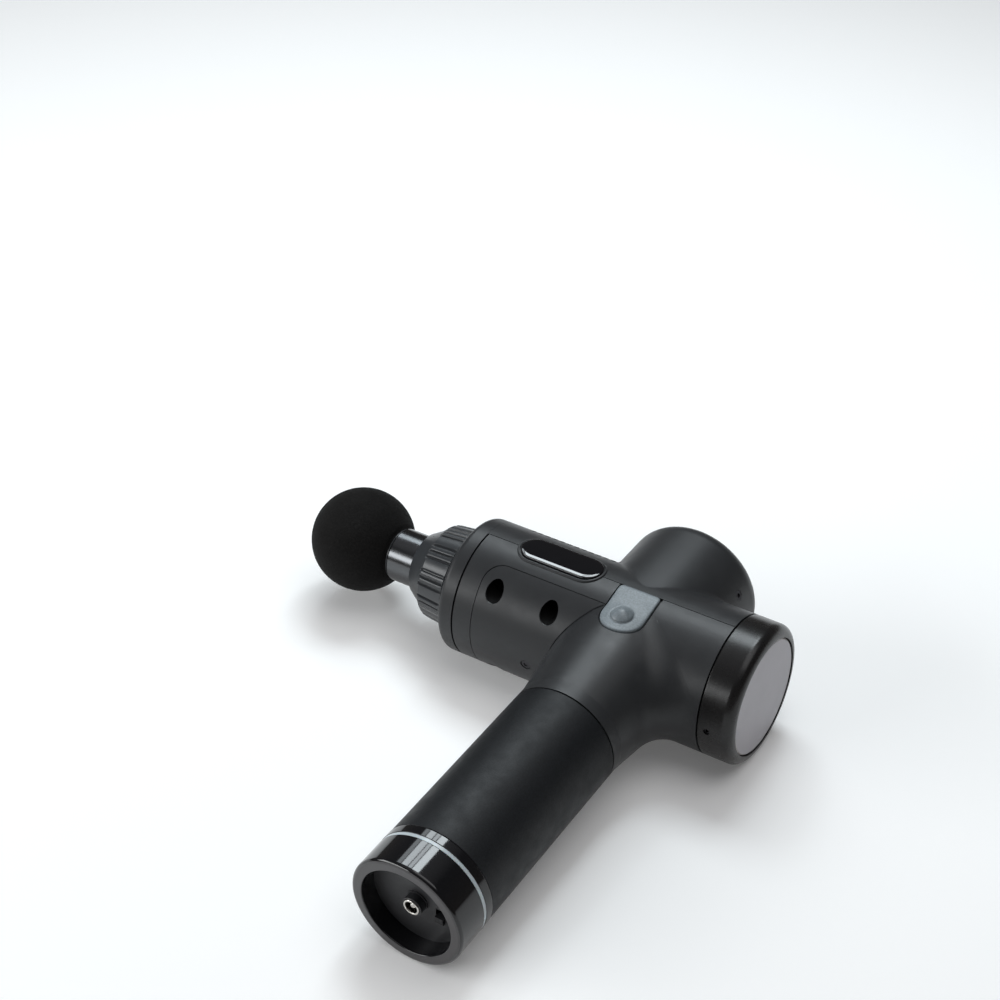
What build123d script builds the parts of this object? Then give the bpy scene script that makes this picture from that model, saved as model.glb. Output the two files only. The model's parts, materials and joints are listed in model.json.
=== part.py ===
from build123d import *
import math
import os

# Massage gun: a barrel with a reciprocating head, a motor housing on one side of it and a
# battery handle on the other.
#
# Every piece is drawn in the gun's own frame, in millimetres:
#   X along the barrel (the ball is at -X, the display at +X)
#   Y along the handle and motor axis (the handle's end is at -Y, the motor at +Y)
#   Z across the gun (the thumb button is on the +Z side)
# The last step lays the gun down on its side: it rests on the barrel and on the rim of its base.

# ---- barrel and shells ----
BARREL_R = 32.4
WALL = 2.6
CAVITY_R = BARREL_R - WALL
SEAM_WIDTH = 0.36
SEAM_DEPTH = 0.5
SHELL_FRONT = -79.2
SHELL_REAR = 45.2

# ---- front ring, part of the upper shell ----
RING_FRONT = -91.5
RING_BACK = -79.0
RING_BORE_R = 23.5
RING_MOUTH_R = 24.4
RING_SHOULDER_X = -87.2
FRONT_GAP = 1.1

# ---- motor housing ----
MOTOR_R = 32.1
MOTOR_OUT_X = -0.9
MOTOR_END = 57.6
MOTOR_EDGE = 9.0
MOTOR_BLEND = 3.5
MOTOR_CAVITY_R = 28.8
MOTOR_CAVITY_END = 54.4

# ---- neck and handle ----
NECK_TOP_R = 31.3
NECK_TOP_Y = -16.0
NECK_END_R = 25.6
NECK_CYL_Y = -61.0
NECK_END = -67.2
REAR_BLEND = 18.0
GRIP_R = 25.6
GRIP_TOP = -67.7
GRIP_END = -159.5
TUBE_R = 23.75
TUBE_BORE_R = 21.4
TUBE_TOP = -38.0
TUBE_END = -165.7
SLIP = 0.1

# ---- base ----
BASE_R = 25.8
COLLAR_END = -164.0
LIGHT_END = -165.7
BASE_END = -181.5
BASE_EDGE = 1.8
RECESS_R = 20.7
FLOOR_Y = -173.2
FLOOR_THICK = 2.0
FLOOR_SEAT_R = 22.0

# ---- reciprocating drive ----
STROKE = 12.0
CRANK_R = STROKE / 2
ROD_LENGTH = 45.0
WRIST_X = CRANK_R - ROD_LENGTH
ROD_HALF = 4.0
FORK_HALF = 4.6
PIN_R = 4.0
PIN_END = 6.8
WRIST_R = 3.0
DISC_Y = 7.0
SHAFT_R = 12.9
SHAFT_FRONT = -130.2
SHAFT_REAR = -58.0
SOCKET_R = 8.6
SOCKET_DEPTH = 36.0
RUNNING = 0.05

# ---- massage head ----
BALL_R = 25.0
BALL_X = -152.5
BALL_FLAT = -131.0
STEM_R = 8.5
STEM_LENGTH = 33.0

# ---- display end ----
REAR_RING_FRONT = 45.8
REAR_RING_END = 61.5
REAR_RING_EDGE = 5.0
DISPLAY_R = 27.3
SPIGOT_R = 29.6
SPIGOT_FRONT = 39.0

# ---- thumb tab and button ----
TAB_HALF = 10.2
TAB_LENGTH = 26.6
TAB_PROUD = 0.4
TAB_THICK = 1.7
TAB_GAP = 0.5
BUTTON_Y = -17.5
BUTTON_R = 5.2
BUTTON_TOP = 33.6
DOME_RISE = 2.2

# ---- barrel panel ----
PANEL_FRONT = -69.4
PANEL_EDGE_Y = -12.9
PANEL_THICK = 1.5
PANEL_CORNER = 9.0
PANEL_GAP = 0.35
PANEL_SCREW_X = -40.3
PANEL_SCREW_TURN = 8.0
WELL_R = 4.25
WELL_Z = 22.2
WELL_XS = (-61.6, -33.3)
WELL_BOTTOM = -9.0
SHELL_SCREW_R = 1.5

# ---- motor ----
MOUNT_Y = 18.0
MOUNT_END = 21.0
BELL_R = 24.5
BELL_START = 25.0
BELL_END = 48.0
STATOR_R = 20.7
STATOR_START = 28.0
STATOR_END = 40.0
HUB_R = 8.9
BEARING_R = 6.5
BEARING_W = 5.0
AXLE_R = 3.0
TEETH = 12
MAGNETS = 14

# ---- battery ----
CELL_R = 9.1
CELL_LENGTH = 65.0
CELL_CIRCLE = 10.8
CELLS_TOP = -29.5
CELL_SPACING = 2.0
HOLDER_R = 21.2

# ---- charging socket and power switch, in the base ----
JACK_R = 4.9
JACK_SLEEVE_R = 4.4
JACK_RING_R = 3.7
JACK_BORE_R = 2.75
JACK_PIN_R = 1.25
JACK_TIP = -177.8
SWITCH_X = 10.5
SWITCH_Z = -3.0
SWITCH_TRAVEL = 3.0


def cyl_x(radius, x0, x1):
    """Cylinder along X about the barrel axis."""
    return Pos((x0 + x1) / 2, 0, 0) * Rot(0, 90, 0) * Cylinder(radius, x1 - x0)


def cyl_y(radius, y0, y1, x=0.0, z=0.0):
    """Cylinder along Y."""
    return Pos(x, (y0 + y1) / 2, z) * Rot(-90, 0, 0) * Cylinder(radius, y1 - y0)


def cyl_z(radius, z0, z1, x=0.0, y=0.0):
    """Cylinder along Z."""
    return Pos(x, y, (z0 + z1) / 2) * Cylinder(radius, z1 - z0)


def tube_x(outer, inner, x0, x1):
    return cyl_x(outer, x0, x1) - cyl_x(inner, x0, x1)


def tube_y(outer, inner, y0, y1, x=0.0, z=0.0):
    return cyl_y(outer, y0, y1, x, z) - cyl_y(inner, y0, y1, x, z)


def block(x0, x1, y0, y1, z0, z1):
    """Box between two corners."""
    return Pos((x0 + x1) / 2, (y0 + y1) / 2, (z0 + z1) / 2) * Box(x1 - x0, y1 - y0, z1 - z0)


def rounded_face(points, rounds):
    """Closed outline; rounds maps a corner's number to its radius."""
    face = make_face(Polyline(*points, close=True))
    for number, radius in rounds.items():
        target = Vector(*points[number])
        corner = min(face.vertices(), key=lambda v: (Vector(v) - target).length)
        face = fillet(corner, radius)
    return face


def turned_x(points, rounds=None):
    """Solid turned about X from (x, radius) points."""
    return revolve(rounded_face(points, rounds or {}), axis=Axis.X)


def turned_y(points, rounds=None):
    """Solid turned about Y from (y, radius) points."""
    swapped = [(radius, y) for y, radius in points]
    return revolve(rounded_face(swapped, rounds or {}), axis=Axis.Y)


def around_y(item, count, start=0.0):
    """Copies of a piece spaced evenly about the handle axis."""
    return [Rot(0, start + 360 / count * i, 0) * item for i in range(count)]


def around_x(item, count, start=0.0):
    """Copies of a piece spaced evenly about the barrel axis."""
    return [Rot(start + 360 / count * i, 0, 0) * item for i in range(count)]


def hex_socket(radius, depth):
    """Hexagonal key hole from z=0 downwards."""
    return Pos(0, 0, -depth) * extrude(RegularPolygon(radius, 6), depth)


def cap_screw(head_r, head_h, shank_r, shank_l):
    """Socket screw along Z: head from 0 up, shank from 0 down."""
    screw = Pos(0, 0, head_h / 2) * Cylinder(head_r, head_h)
    screw += Pos(0, 0, -shank_l / 2) * Cylinder(shank_r, shank_l)
    return screw - Pos(0, 0, head_h) * hex_socket(head_r * 0.5, head_h * 0.6)


# ------------------------------------------------------------------ outer form

def neck_form(grow=0.0):
    """Flared neck between the barrel and the handle."""
    return turned_y([
        (0, 0), (0, NECK_TOP_R + grow), (NECK_TOP_Y, NECK_TOP_R + grow),
        (NECK_CYL_Y, NECK_END_R + grow), (NECK_END, NECK_END_R + grow), (NECK_END, 0),
    ])


def lower_form(grow=0.0):
    """Handle side of the body: half the barrel and the neck, blended on the display side."""
    barrel = cyl_x(BARREL_R + grow, -120, 90) & block(-120, 90, -60, 0, -60, 60)
    form = barrel + neck_form(grow)
    front = form & block(SHELL_FRONT, 0, -80, 0, -60, 60)
    rear = form & block(0, 90, -80, 0, -60, 60)
    rear = fillet(rear.edges().filter_by(GeomType.BSPLINE), REAR_BLEND)
    return front + (rear & block(0, SHELL_REAR, -80, 0, -60, 60))


def cavity():
    """Room inside the two shells."""
    room = cyl_x(CAVITY_R, RING_BACK - 1.5, SHELL_REAR + 1)
    room += cyl_y(MOTOR_CAVITY_R, 0, MOTOR_CAVITY_END)
    room += turned_y([
        (0, 0), (0, NECK_TOP_R - WALL), (NECK_TOP_Y, NECK_TOP_R - WALL),
        (-50, TUBE_R + SLIP), (NECK_END - 1, TUBE_R + SLIP), (NECK_END - 1, 0),
    ])
    return room


def seam_groove():
    """Fine groove where the two shells meet."""
    ring = cyl_x(BARREL_R + 1, RING_BACK, SHELL_REAR) - cyl_x(BARREL_R - SEAM_DEPTH, RING_BACK, SHELL_REAR)
    return ring & block(-100, 100, -SEAM_WIDTH / 2, SEAM_WIDTH / 2, -60, 60)


def front_ring():
    """Ring round the barrel's mouth, with a sloping shoulder."""
    return turned_x([
        (RING_FRONT, RING_BORE_R), (RING_FRONT, RING_MOUTH_R), (RING_SHOULDER_X, BARREL_R),
        (RING_BACK - FRONT_GAP, BARREL_R), (RING_BACK - FRONT_GAP, CAVITY_R),
        (RING_BACK, CAVITY_R), (RING_BACK, RING_BORE_R),
    ], {2: 3.0})


VENT_COUNT = 12
VENT_PITCH = 3.85
VENT_FIRST = -67.3
VENT_WIDTH = 2.0
VENT_DEPTH = 1.1
VENT_START_Y = 17.5


def vent_grooves():
    """Grooves across the motor side of the barrel, each with a slot through its middle."""
    half = VENT_WIDTH / 2
    side = block(-100, 100, VENT_START_Y, 60, -60, 60)
    slot = block(-100, 100, 0, 60, -9, 9)
    grooves = []
    for i in range(VENT_COUNT):
        x = VENT_FIRST + VENT_PITCH * i
        band = tube_x(BARREL_R + 1, BARREL_R - VENT_DEPTH, x - half, x + half) & side
        hole = tube_x(BARREL_R + 1, CAVITY_R - 1, x - half, x + half) & side & slot
        grooves += [band, hole]
    return grooves


MOUNT_SCREW_CIRCLE = 27.0
MOUNT_SCREW_R = 1.0
LEDGE_R = 25.4
SHROUD_SCREW_Y = 39.7
SHROUD_SCREW_ANGLES = (27.5, -27.5, 152.5, -152.5)
GUIDE_SCREW_CIRCLE = 26.7
GUIDE_SCREW_R = 1.25


def radial_y(angle, y, item):
    """Puts a piece drawn along Z onto the motor housing, pointing outwards."""
    return Pos(0, y, 0) * Rot(0, 90 - angle, 0) * item


def upper_form():
    """Motor side of the body: half the barrel and the motor housing, blended where they meet."""
    barrel = cyl_x(BARREL_R, -130, 130) & block(-130, 130, 0, 60, -60, 60)
    housing = turned_y([
        (0, 0), (0, MOTOR_R), (MOTOR_END, MOTOR_R), (MOTOR_END, 0),
    ], {2: MOTOR_EDGE})
    form = barrel + Pos(MOTOR_OUT_X, 0, 0) * housing
    form = fillet(form.edges().filter_by(GeomType.BSPLINE), MOTOR_BLEND)
    return form & block(RING_BACK - 1, SHELL_REAR, 0, 80, -60, 60)


def upper_shell():
    form = upper_form()
    shell = form - cavity()
    shell += front_ring()
    shell += tube_y(MOTOR_CAVITY_R + 0.3, LEDGE_R, MOUNT_END, MOUNT_END + 3)
    for x in WELL_XS:
        for z in (WELL_Z, -WELL_Z):
            boss = cyl_y(4.4, 0, 24, x, z) & cyl_x(BARREL_R - 1, -90, 40)
            shell += boss
            shell -= cyl_y(SHELL_SCREW_R, -1, 10, x, z)
    shell -= seam_groove()
    for groove in vent_grooves():
        shell -= groove
    for hole in around_y(cyl_y(MOUNT_SCREW_R, 15, 24, MOUNT_SCREW_CIRCLE), 3):
        shell -= hole
    for angle in SHROUD_SCREW_ANGLES:
        shell -= radial_y(angle, SHROUD_SCREW_Y, cyl_z(1.3, 27, 35) + cyl_z(2.3, 30.3, 35))
    for hole in around_x(Pos(0, 0, GUIDE_SCREW_CIRCLE) * cyl_x(GUIDE_SCREW_R, -86, -78), 4, 45):
        shell -= hole
    return shell


def tab_outline(grow=0.0):
    """Outline of the thumb tab: straight at the seam, round at its lower end."""
    half = TAB_HALF + grow
    bend_y = -(TAB_LENGTH - TAB_HALF)
    outline = make_face([
        Line((-half, 0), (half, 0)),
        Line((half, 0), (half, bend_y)),
        ThreePointArc((half, bend_y), (0, bend_y - half), (-half, bend_y)),
        Line((-half, bend_y), (-half, 0)),
    ])
    return Pos(0, 0, 20) * extrude(outline, 20)


def panel_outline(grow=0.0):
    """Both sides of the barrel panel, seen across the gun."""
    front = PANEL_FRONT - grow
    edge = PANEL_EDGE_Y + grow
    outline = rounded_face([(front, edge), (0, edge), (0, -40), (front, -40)], {0: PANEL_CORNER})
    return Pos(0, 0, -40) * extrude(outline, 80)


def panel_wells(radius):
    return [cyl_y(radius, -40, WELL_BOTTOM, x, z) for x in WELL_XS for z in (WELL_Z, -WELL_Z)]


def lower_shell():
    shell = lower_form() - cavity()
    for x in WELL_XS:
        for z in (WELL_Z, -WELL_Z):
            boss = cyl_y(6.2, -40, 0, x, z) & cyl_x(BARREL_R - 1, -90, 40)
            shell += boss
            shell -= cyl_y(SHELL_SCREW_R + 0.15, -20, 1, x, z)
    for well in panel_wells(WELL_R):
        shell -= well
    sunk = panel_outline(PANEL_GAP) - cyl_x(BARREL_R - PANEL_THICK - 0.05, -100, 60)
    shell -= sunk - neck_form()
    shell -= tab_outline(TAB_GAP) - lower_form(TAB_PROUD - TAB_THICK - 0.1)
    shell -= cyl_z(BUTTON_R + 0.3, 20, 40, 0, BUTTON_Y)
    shell -= Rot(PANEL_SCREW_TURN, 0, 0) * cyl_y(1.0, -40, -20, PANEL_SCREW_X)
    shell -= seam_groove()
    return shell


def barrel_panel():
    """Thin cover let into the handle side of the barrel, with wells for the shell screws."""
    panel = panel_outline() & tube_x(BARREL_R, BARREL_R - PANEL_THICK, -75, -5)
    panel -= neck_form(PANEL_GAP)
    panel -= tab_outline(TAB_GAP)
    for well in panel_wells(WELL_R):
        panel -= well
    hole = cyl_y(1.1, -40, -20, PANEL_SCREW_X) + cyl_y(2.6, -40, -31.6, PANEL_SCREW_X)
    panel -= Rot(PANEL_SCREW_TURN, 0, 0) * hole
    return panel


def panel_screw():
    screw = cap_screw(2.3, 0.5, 1.0, 3.0)
    return Rot(PANEL_SCREW_TURN, 0, 0) * Pos(PANEL_SCREW_X, -31.6, 0) * Rot(90, 0, 0) * screw


def shell_screws():
    screw = Rot(90, 0, 0) * cap_screw(2.8, 2.4, SHELL_SCREW_R, 18.5)
    return [Pos(x, WELL_BOTTOM, z) * screw for x in WELL_XS for z in (WELL_Z, -WELL_Z)]


# ------------------------------------------------------------------ badge

BADGE_X = -41.0
BADGE_LENGTH = 43.0
BADGE_WIDTH = 17.0
BADGE_TURN = -2.3
BEZEL_WIDTH = 1.3


def stadium(length, width):
    """Prism with a stadium outline round the badge, turned a little to the motor side."""
    return Rot(BADGE_TURN, 0, 0) * Pos(BADGE_X, 0, 25) * extrude(SlotOverall(length, width), 15)


def badge_bezel():
    outer = stadium(BADGE_LENGTH, BADGE_WIDTH) & cyl_x(BARREL_R + 1.0, -80, 0)
    inner = stadium(BADGE_LENGTH - 2 * BEZEL_WIDTH, BADGE_WIDTH - 2 * BEZEL_WIDTH)
    return outer - inner - cyl_x(BARREL_R, -80, 0)


def badge_lens():
    inset = 2 * BEZEL_WIDTH + 0.2
    lens = stadium(BADGE_LENGTH - inset, BADGE_WIDTH - inset)
    return (lens & cyl_x(BARREL_R + 1.1, -80, 0)) - cyl_x(BARREL_R, -80, 0)


# ------------------------------------------------------------------ thumb tab and button

def thumb_tab():
    tab = tab_outline() & lower_form(TAB_PROUD)
    tab -= lower_form(TAB_PROUD - TAB_THICK)
    return tab - cyl_z(BUTTON_R + 0.15, 20, 40, 0, BUTTON_Y)


def thumb_button():
    """Domed key: a short post under a shallow dome."""
    sphere_r = (BUTTON_R ** 2 + DOME_RISE ** 2) / (2 * DOME_RISE)
    post = cyl_z(BUTTON_R, 29.3, BUTTON_TOP, 0, BUTTON_Y)
    return post & (Pos(0, BUTTON_Y, BUTTON_TOP - sphere_r) * Sphere(sphere_r))


def button_switch():
    """Tact switch on its small board, under the thumb button."""
    board = block(-7, 7, BUTTON_Y - 5, BUTTON_Y + 5, 23.4, 24.4)
    body = block(-3, 3, BUTTON_Y - 3, BUTTON_Y + 3, 24.4, 27.6)
    return board + body + cyl_z(1.6, 27.6, 28.3, 0, BUTTON_Y)


# ------------------------------------------------------------------ nose and guide

COLLAR_FRONT = -115.6
COLLAR_REAR = -84.0
SEAL_FRONT = -114.6
SEAL_R = 14.8
GUIDE_R = 16.8
GUIDE_BORE_R = 15.3
GUIDE_FRONT = -109.5
GUIDE_REAR = -68.5
RIB_LANDS = 11
RIB_START = 28.5
RIB_STEP = 7.9
RIB_CUT = 1.0


def nose_collar():
    """Grip collar: a cone, then a ring of broad lands with two narrow ribs between each pair."""
    collar = turned_x([
        (COLLAR_FRONT, 13.3), (COLLAR_FRONT, 15.2), (-106.0, 21.2), (-104.6, 22.3),
        (RING_FRONT, RING_MOUTH_R), (RING_FRONT, RING_BORE_R - SLIP),
        (COLLAR_REAR, RING_BORE_R - SLIP), (COLLAR_REAR, GUIDE_R + SLIP),
        (GUIDE_FRONT - SLIP, GUIDE_R + SLIP), (GUIDE_FRONT - SLIP, SEAL_R + SLIP),
        (SEAL_FRONT, SEAL_R + SLIP), (SEAL_FRONT, 13.3),
    ], {1: 0.8})
    cut = block(-106.5, -91.7, -RIB_CUT / 2, RIB_CUT / 2, 21.5, 30)
    for side in (-RIB_STEP, 0, RIB_STEP):
        for groove in around_x(Rot(side, 0, 0) * cut, RIB_LANDS, RIB_START):
            collar -= groove
    return collar


def wiper_seal():
    return tube_x(SEAL_R, SHAFT_R + RUNNING, SEAL_FRONT, SEAL_FRONT + 4)


def guide_housing():
    """Tube that carries the shaft's bushes, with a flange bolted behind the front ring."""
    housing = turned_x([
        (GUIDE_FRONT, GUIDE_BORE_R), (GUIDE_FRONT, GUIDE_R), (RING_BACK, GUIDE_R),
        (RING_BACK, CAVITY_R - 0.2), (RING_BACK + 3, CAVITY_R - 0.2), (RING_BACK + 3, GUIDE_R + 1.6),
        (GUIDE_REAR, GUIDE_R + 0.4), (GUIDE_REAR, GUIDE_BORE_R),
    ], {5: 1.2})
    hole = Pos(0, 0, GUIDE_SCREW_CIRCLE) * cyl_x(GUIDE_SCREW_R, -80, -70)
    for cut in around_x(hole, 4, 45):
        housing -= cut
    return housing


def guide_bushes():
    return [
        tube_x(GUIDE_BORE_R, SHAFT_R + RUNNING, GUIDE_FRONT, GUIDE_FRONT + 8),
        tube_x(GUIDE_BORE_R, SHAFT_R + RUNNING, GUIDE_REAR - 8, GUIDE_REAR),
    ]


def guide_screws():
    screw = Rot(0, 90, 0) * cap_screw(2.2, 2.0, GUIDE_SCREW_R, 9.0)
    placed = Pos(RING_BACK + 3, 0, GUIDE_SCREW_CIRCLE) * screw
    return around_x(placed, 4, 45)


# ------------------------------------------------------------------ reciprocating drive

def output_shaft():
    """Shaft with a socket for the head at its front and a fork for the rod at its back."""
    shaft = cyl_x(SHAFT_R, SHAFT_FRONT, SHAFT_REAR)
    rim = shaft.edges().sort_by(Axis.X)[0]
    shaft = chamfer(rim, 0.6)
    shaft += block(SHAFT_REAR - 2, WRIST_X, -10, 10, -7.5, 7.5)
    shaft += cyl_y(7.5, -10, 10, WRIST_X)
    shaft -= block(-50, -20, -FORK_HALF, FORK_HALF, -8, 8)
    shaft -= cyl_y(WRIST_R, -11, 11, WRIST_X)
    shaft -= cyl_x(SOCKET_R, SHAFT_FRONT - 1, SHAFT_FRONT + SOCKET_DEPTH)
    return shaft


def wrist_pin():
    return cyl_y(WRIST_R, -9.9, 9.9, WRIST_X)


def con_rod():
    rod = cyl_y(13.0, -ROD_HALF, ROD_HALF, CRANK_R)
    rod += cyl_y(7.0, -ROD_HALF, ROD_HALF, WRIST_X)
    rod += block(WRIST_X, CRANK_R, -ROD_HALF, ROD_HALF, -4.5, 4.5)
    rod -= cyl_y(9.5, -10, 10, CRANK_R)
    rod -= cyl_y(4.2, -10, 10, WRIST_X)
    rod -= block(-28, -11, 2.6, 10, -2.6, 2.6)
    rod -= block(-28, -11, -10, -2.6, -2.6, 2.6)
    return rod


def rod_bush():
    return tube_y(4.2, WRIST_R + RUNNING, -ROD_HALF, ROD_HALF, WRIST_X)


def crank_bearing():
    return tube_y(9.5, PIN_R, -3, 3, CRANK_R)


def crank_pin():
    """Pin in the rod's bearing; its free end stops just short of its seat in the disc."""
    return cyl_y(PIN_R, -ROD_HALF, PIN_END, CRANK_R) + cyl_y(5.2, -5.2, -ROD_HALF, CRANK_R)


def crank_disc():
    disc = cyl_y(15, DISC_Y, DISC_Y + 6)
    disc += cyl_y(7, DISC_Y + 6, DISC_Y + 9)
    disc -= cyl_y(AXLE_R, DISC_Y - 1, DISC_Y + 10)
    return disc - cyl_y(PIN_R + 0.1, DISC_Y - 1, DISC_Y + 4, CRANK_R)


def counterweight():
    """Sector on the far side of the disc from the crank pin."""
    ring = tube_y(15, 8, DISC_Y + 6, DISC_Y + 9)
    return ring & block(-20, -2, 0, 30, -20, 20)


# ------------------------------------------------------------------ motor

def motor_axle():
    return cyl_y(AXLE_R, DISC_Y + 0.5, BELL_END)


def motor_bearings():
    inner = AXLE_R + 0.02
    return [
        tube_y(BEARING_R, inner, MOUNT_Y, MOUNT_Y + BEARING_W),
        tube_y(BEARING_R, inner, 37.5, 37.5 + BEARING_W),
    ]


def motor_mount():
    """Plate across the motor housing with the tube that carries the bearings and the stator."""
    mount = cyl_y(MOTOR_CAVITY_R - 0.2, MOUNT_Y, MOUNT_END) + cyl_y(HUB_R, MOUNT_END, 43)
    mount += cyl_y(11, MOUNT_END, 24)
    mount -= cyl_y(BEARING_R, MOUNT_Y - 1, 44)
    for hole in around_y(cyl_y(MOUNT_SCREW_R + 0.1, 17, 22, MOUNT_SCREW_CIRCLE), 3):
        mount -= hole
    for window in around_y(cyl_y(4.5, 17, 22, 18.5), 6, 30):
        mount -= window
    return mount


def mount_screws():
    screw = Pos(MOUNT_SCREW_CIRCLE, MOUNT_Y, 0) * Rot(90, 0, 0) * cap_screw(1.75, 1.5, MOUNT_SCREW_R, 6)
    return around_y(screw, 3)


def stator_core():
    """Laminated core: a hub with a tooth and a pole shoe for each coil."""
    core = tube_y(11.4, HUB_R, STATOR_START, STATOR_END)
    shoe_ring = tube_y(STATOR_R, 18.8, STATOR_START, STATOR_END)
    shoe_span = 19 * math.tan(math.radians(11.5))
    shoe = shoe_ring & block(15, 25, 20, 50, -shoe_span, shoe_span)
    tooth = block(10.8, 19.2, STATOR_START, STATOR_END, -1.5, 1.5)
    for piece in around_y(tooth + shoe, TEETH):
        core += piece
    return core


def stator_coils():
    coil = block(11.8, 18.5, STATOR_START - 1.5, STATOR_END + 1.5, -2.9, 2.9)
    coil -= block(11, 19, STATOR_START, STATOR_END, -1.5, 1.5)
    return around_y(coil, TEETH)


def rotor_bell():
    bell = cyl_y(BELL_R, BELL_START, BELL_END) - cyl_y(23.3, BELL_START - 1, BELL_END - 2)
    bell += cyl_y(6, 44.5, BELL_END)
    bell -= cyl_y(AXLE_R, 40, 50)
    for window in around_y(cyl_y(3.6, 45, 50, 14.5), 6):
        bell -= window
    return bell


def rotor_magnets():
    ring = tube_y(23.3, 21.3, BELL_START + 2, 42)
    half = 21.3 * math.tan(math.radians(180 / MAGNETS - 1.6))
    magnet = ring & block(15, 26, 20, 50, -half, half)
    return around_y(magnet, MAGNETS)


def motor_shroud():
    """Lining of the motor housing that the side screws hold."""
    shroud = tube_y(MOTOR_CAVITY_R - 0.1, 26.2, 33, 51)
    for angle in SHROUD_SCREW_ANGLES:
        shroud -= radial_y(angle, SHROUD_SCREW_Y, cyl_z(1.25, 20, 33))
    return shroud


def shroud_screws():
    screw = cap_screw(2.2, 0.9, 1.25, 3.4)
    return [radial_y(angle, SHROUD_SCREW_Y, Pos(0, 0, 30.3) * screw) for angle in SHROUD_SCREW_ANGLES]


# ------------------------------------------------------------------ display end

def rear_ring():
    """Ring that closes the barrel, with a spigot inside the shells."""
    ring = turned_x([
        (SPIGOT_FRONT, DISPLAY_R), (SPIGOT_FRONT, SPIGOT_R), (REAR_RING_FRONT, SPIGOT_R),
        (REAR_RING_FRONT, BARREL_R), (REAR_RING_END, BARREL_R), (REAR_RING_END, DISPLAY_R),
    ], {3: 0.4, 4: REAR_RING_EDGE - 0.3})
    grub = cyl_z(1.5, 20, 40, 50.3, 0)
    for hole in around_x(grub, 2, 90):
        ring -= hole
    return ring


def ring_grub_screws():
    screw = cyl_z(1.5, 28, 31.6, 50.3, 0)
    screw -= Pos(50.3, 0, 31.6) * hex_socket(0.85, 1.6)
    return around_x(screw, 2, 90)


def display_lens():
    lens = cyl_x(DISPLAY_R - 0.15, 59.4, 61.3)
    rim = lens.edges().sort_by(Axis.X)[-1]
    return chamfer(rim, 0.4)


def display_frame():
    return tube_x(DISPLAY_R - 0.1, 23.5, 56.2, 59.4)


def display_board():
    board = cyl_x(DISPLAY_R - 0.3, 54.6, 56.2)
    return board + block(56.2, 58.6, -14, 14, -10, 10)


CONTROL_X = 36.0
CONTROL_THICK = 1.6


def controller_board():
    return cyl_x(28.0, CONTROL_X, CONTROL_X + CONTROL_THICK)


def controller_parts():
    """Power transistors, two capacitors and the processor, on the face towards the motor."""
    parts = [
        block(CONTROL_X - 1.6, CONTROL_X, -21, -15, z - 2.6, z + 2.6)
        for z in (-13.5, -7, 7, 13.5)
    ]
    parts += [Pos(0, -4, z) * cyl_x(3.4, CONTROL_X - 7.5, CONTROL_X) for z in (-19, 19)]
    parts.append(block(CONTROL_X + CONTROL_THICK, CONTROL_X + CONTROL_THICK + 1.0, -5, 5, -5, 5))
    return parts


# ------------------------------------------------------------------ handle and base

def handle_tube():
    return tube_y(TUBE_R, TUBE_BORE_R, TUBE_END, TUBE_TOP)


def grip_sleeve():
    sleeve = turned_y([
        (GRIP_END, TUBE_R + 0.05), (GRIP_END, GRIP_R), (GRIP_TOP, GRIP_R), (GRIP_TOP, TUBE_R + 0.05),
    ], {1: 0.3, 2: 0.4})
    return sleeve


def base_collar():
    """Gloss band between the grip and the light ring."""
    return tube_y(BASE_R, TUBE_R + 0.05, COLLAR_END, GRIP_END - 0.15)


def light_ring():
    return tube_y(BASE_R - 0.05, TUBE_R + 0.05, LIGHT_END, COLLAR_END)


def base_cap():
    """Cup at the handle's end: a rounded rim round a recess."""
    cap = turned_y([
        (LIGHT_END, FLOOR_SEAT_R), (LIGHT_END, BASE_R), (BASE_END, BASE_R), (BASE_END, RECESS_R),
        (FLOOR_Y, RECESS_R), (FLOOR_Y, FLOOR_SEAT_R),
    ], {2: BASE_EDGE, 3: 0.6})
    return cap


def base_plate():
    plate = cyl_y(FLOOR_SEAT_R - 0.1, FLOOR_Y, FLOOR_Y + FLOOR_THICK)
    plate -= cyl_y(JACK_R, FLOOR_Y - 1, FLOOR_Y + 5)
    slot_half = SWITCH_TRAVEL / 2 + 1.9
    plate -= block(SWITCH_X - 2.1, SWITCH_X + 2.1, -180, -160, SWITCH_Z - slot_half, SWITCH_Z + slot_half)
    return plate


def charge_jack():
    """Socket body: a flange in the floor and a sleeve that stands up in the recess."""
    body = cyl_y(JACK_R, FLOOR_Y - 0.6, -167.8) + cyl_y(JACK_SLEEVE_R, JACK_TIP + 0.7, FLOOR_Y)
    body -= cyl_y(JACK_RING_R, JACK_TIP - 1, -171)
    return body


def jack_ring():
    ring = tube_y(JACK_RING_R, JACK_BORE_R, JACK_TIP, -171)
    return ring


def jack_pin():
    pin = cyl_y(JACK_PIN_R, JACK_TIP + 1, -171)
    tip = pin.edges().sort_by(Axis.Y)[0]
    return chamfer(tip, 0.3)


def power_switch():
    """Switch body behind the floor, with a channel for the slider's foot."""
    body = block(SWITCH_X - 3.2, SWITCH_X + 3.2, -171.1, -167.4, SWITCH_Z - 6, SWITCH_Z + 6)
    half = SWITCH_TRAVEL / 2 + 1.9
    body -= block(SWITCH_X - 2.1, SWITCH_X + 2.1, -172, -169.8, SWITCH_Z - half, SWITCH_Z + half)
    return body


def power_slider():
    z = SWITCH_Z - SWITCH_TRAVEL / 2
    slider = block(SWITCH_X - 1.9, SWITCH_X + 1.9, -174.6, -170.0, z - 1.6, z + 1.6)
    for step in (-0.8, 0, 0.8):
        slider -= block(SWITCH_X - 3, SWITCH_X + 3, -175, -174.2, z + step - 0.15, z + step + 0.15)
    return slider


def led_board():
    return tube_y(TUBE_BORE_R - 0.1, 9.0, -166.8, -165.6)


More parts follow.
